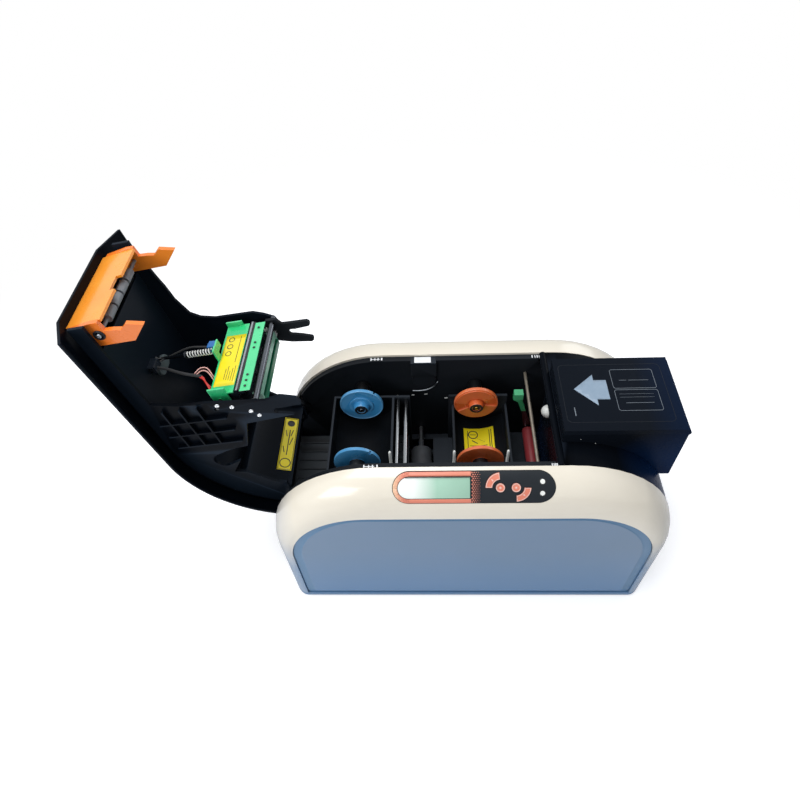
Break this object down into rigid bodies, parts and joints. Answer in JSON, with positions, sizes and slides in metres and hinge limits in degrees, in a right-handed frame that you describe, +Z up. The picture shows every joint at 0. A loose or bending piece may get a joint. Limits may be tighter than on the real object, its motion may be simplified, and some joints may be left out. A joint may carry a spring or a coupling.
{
  "type": "id card printer",
  "caption": "Desktop card printer with arched side shells, its ribbon bay open under a cover swung back on its stop, card feeder at the right.",
  "frame": {"origin": "centre of the flat underside of the base pan, from which the rubber feet stand out", "axes": "+X along the body towards the card feeder, +Y across the body from the control panel to the rear shell, +Z up"},
  "size_m": [0.5256, 0.203, 0.3944],
  "materials": {
    "black_plastic": "fine grain black moulding",
    "cream_plastic": "glossy cream moulding",
    "blue_grey_plastic": "blue-grey tinted panel",
    "dark_plastic": "charcoal moulding",
    "rubber": "black rubber",
    "steel": "bright steel",
    "chrome": "polished",
    "blue_plastic": "blue moulding",
    "orange_plastic": "orange moulding",
    "amber_plastic": "light orange moulding",
    "green_plastic": "green moulding",
    "salmon_plastic": "salmon keys",
    "white_plastic": "white moulding",
    "display": "pale green display window",
    "brown_rubber": "red-brown roller rubber",
    "grey_rubber": "grey roller rubber",
    "circuit_board": "green laminate",
    "motor_metal": "plated motor can"
  },
  "bodies": {
    "housing": {"base_pan": "dark_plastic", "rubber_feet": "rubber", "front_side_shell": "cream_plastic", "rear_side_shell": "cream_plastic", "front_side_panel": "blue_grey_plastic", "rear_side_panel": "blue_grey_plastic", "front_inner_frame": "black_plastic", "rear_inner_frame": "black_plastic", "ribbon_bay_tub": "black_plastic", "output_ramp": "dark_plastic", "left_end_cover": "black_plastic", "right_end_cover": "black_plastic", "feeder_base": "black_plastic", "feeder_box": "black_plastic", "tie_rod": "steel", "ribbon_guide_rods": "chrome", "locating_posts": "white_plastic", "cover_sensor": "black_plastic", "control_fascia": "dark_plastic", "lcd_window": "display", "status_lamps": "white_plastic", "main_board": "circuit_board", "drive_motor": "motor_metal", "power_inlet": "dark_plastic", "data_socket": "steel"},
    "cover": {"cover_skin": "black_plastic", "cover_front_wall": "black_plastic", "cover_rear_wall": "black_plastic", "cover_liner": "black_plastic", "hinge_pins": "steel", "cover_screws": "steel", "head_spring": "white_plastic", "ribbon_rails": "green_plastic", "locating_fork": "black_plastic", "cleaning_cassette": "amber_plastic", "bumper_pad": "rubber", "head_connector": "blue_plastic"},
    "head": {"print_head_bracket": "green_plastic", "print_head": "dark_plastic"},
    "guide": {"guide_roller": "steel"},
    "idler": {"idler_gear": "white_plastic"},
    "cassette_roll": {"cassette_rollers": "grey_rubber"},
    "lid": {"feeder_lid": "black_plastic"},
    "weight": {"card_weight": "dark_plastic"},
    "pick": {"pick_roller": "grey_rubber"},
    "knob": {"gate_knob": "white_plastic"},
    "key_arc_back": {"arc_key_back": "salmon_plastic"},
    "key_round_left": {"round_key_left": "salmon_plastic"},
    "key_round_right": {"round_key_right": "salmon_plastic"},
    "key_arc_front": {"arc_key_front": "salmon_plastic"},
    "pinion": {"motor_pinion": "steel"},
    "platen": {"platen_roller": "grey_rubber", "platen_gear": "white_plastic"},
    "cleaner": {"cleaning_roller": "brown_rubber"},
    "lever": {"roller_lift_lever": "green_plastic"},
    "take_up_front": {"take_up_spindle_front": "blue_plastic"},
    "take_up_rear": {"take_up_spindle_rear": "blue_plastic"},
    "supply_front": {"supply_spindle_front": "orange_plastic"},
    "supply_rear": {"supply_spindle_rear": "orange_plastic"},
    "switch": {"power_switch": "dark_plastic"}
  },
  "joints": [
    {"name": "cover_hinge", "type": "hinge", "parent": "housing", "child": "cover", "pos_m": [-0.188, 0, 0.146], "axis": [0, 1, 0], "range_deg": [0, 99.5]},
    {"name": "head_float", "type": "slide", "parent": "cover", "child": "head", "axis": [-0.9863, 0, -0.165], "range_m": [0, 0.0015], "stiffness_N_per_m": 2000, "springref_m": -0.002},
    {"name": "guide_roller_turn", "type": "hinge", "parent": "cover", "child": "guide", "pos_m": [-0.18723, 0, 0.30075], "axis": [0, 1, 0], "continuous": true},
    {"name": "idler_gear_turn", "type": "hinge", "parent": "cover", "child": "idler", "pos_m": [-0.1922, 0, 0.28927], "axis": [0, 1, 0], "continuous": true},
    {"name": "cassette_rollers_turn", "type": "hinge", "parent": "cover", "child": "cassette_roll", "pos_m": [-0.2911, 0, 0.37796], "axis": [0, 1, 0], "continuous": true},
    {"name": "feeder_lid_hinge", "type": "hinge", "parent": "housing", "child": "lid", "pos_m": [0.1965, 0, 0.236], "axis": [0, 1, 0], "range_deg": [0, 95]},
    {"name": "card_weight_slide", "type": "slide", "parent": "housing", "child": "weight", "axis": [0, 0, 1], "range_m": [0, 0.06]},
    {"name": "pick_roller_turn", "type": "hinge", "parent": "housing", "child": "pick", "pos_m": [0.112, 0, 0.108], "axis": [0, 1, 0], "continuous": true},
    {"name": "gate_knob_turn", "type": "hinge", "parent": "housing", "child": "knob", "pos_m": [0.0847, 0.02, 0.189], "axis": [1, 0, 0], "range_deg": [0, 180]},
    {"name": "arc_key_back_press", "type": "slide", "parent": "housing", "child": "key_arc_back", "axis": [0, 0.7071, -0.7071], "range_m": [0, 0.0008], "stiffness_N_per_m": 400, "springref_m": -0.001},
    {"name": "round_key_left_press", "type": "slide", "parent": "housing", "child": "key_round_left", "axis": [0, 0.7071, -0.7071], "range_m": [0, 0.0008], "stiffness_N_per_m": 400, "springref_m": -0.001},
    {"name": "round_key_right_press", "type": "slide", "parent": "housing", "child": "key_round_right", "axis": [0, 0.7071, -0.7071], "range_m": [0, 0.0008], "stiffness_N_per_m": 400, "springref_m": -0.001},
    {"name": "arc_key_front_press", "type": "slide", "parent": "housing", "child": "key_arc_front", "axis": [0, 0.7071, -0.7071], "range_m": [0, 0.0008], "stiffness_N_per_m": 400, "springref_m": -0.001},
    {"name": "platen_turn", "type": "hinge", "parent": "housing", "child": "platen", "pos_m": [-0.0495, 0, 0.104], "axis": [0, 1, 0], "continuous": true},
    {"name": "motor_pinion_turn", "type": "hinge", "parent": "housing", "child": "pinion", "pos_m": [-0.02425, 0, 0.104], "axis": [0, 1, 0], "continuous": true},
    {"name": "cleaning_roller_turn", "type": "hinge", "parent": "housing", "child": "cleaner", "pos_m": [0.0715, 0, 0.135], "axis": [0, 1, 0], "continuous": true},
    {"name": "lift_lever_tilt", "type": "hinge", "parent": "housing", "child": "lever", "pos_m": [0.0715, 0, 0.135], "axis": [0, -1, 0], "range_deg": [0, 8]},
    {"name": "take_up_front_turn", "type": "hinge", "parent": "housing", "child": "take_up_front", "pos_m": [-0.1125, 0, 0.184], "axis": [0, 1, 0], "continuous": true},
    {"name": "take_up_rear_turn", "type": "hinge", "parent": "housing", "child": "take_up_rear", "pos_m": [-0.1125, 0, 0.184], "axis": [0, 1, 0], "continuous": true},
    {"name": "supply_front_turn", "type": "hinge", "parent": "housing", "child": "supply_front", "pos_m": [0.011, 0, 0.184], "axis": [0, 1, 0], "continuous": true},
    {"name": "supply_rear_turn", "type": "hinge", "parent": "housing", "child": "supply_rear", "pos_m": [0.011, 0, 0.184], "axis": [0, 1, 0], "continuous": true},
    {"name": "power_switch_rock", "type": "hinge", "parent": "housing", "child": "switch", "pos_m": [0.1984, -0.002, 0.04], "axis": [0, -1, 0], "range_deg": [0, 12]}
  ],
  "couplings": [
    {"joint": "motor_pinion_turn", "follows": "platen_turn", "ratio": -2.5714}
  ]
}
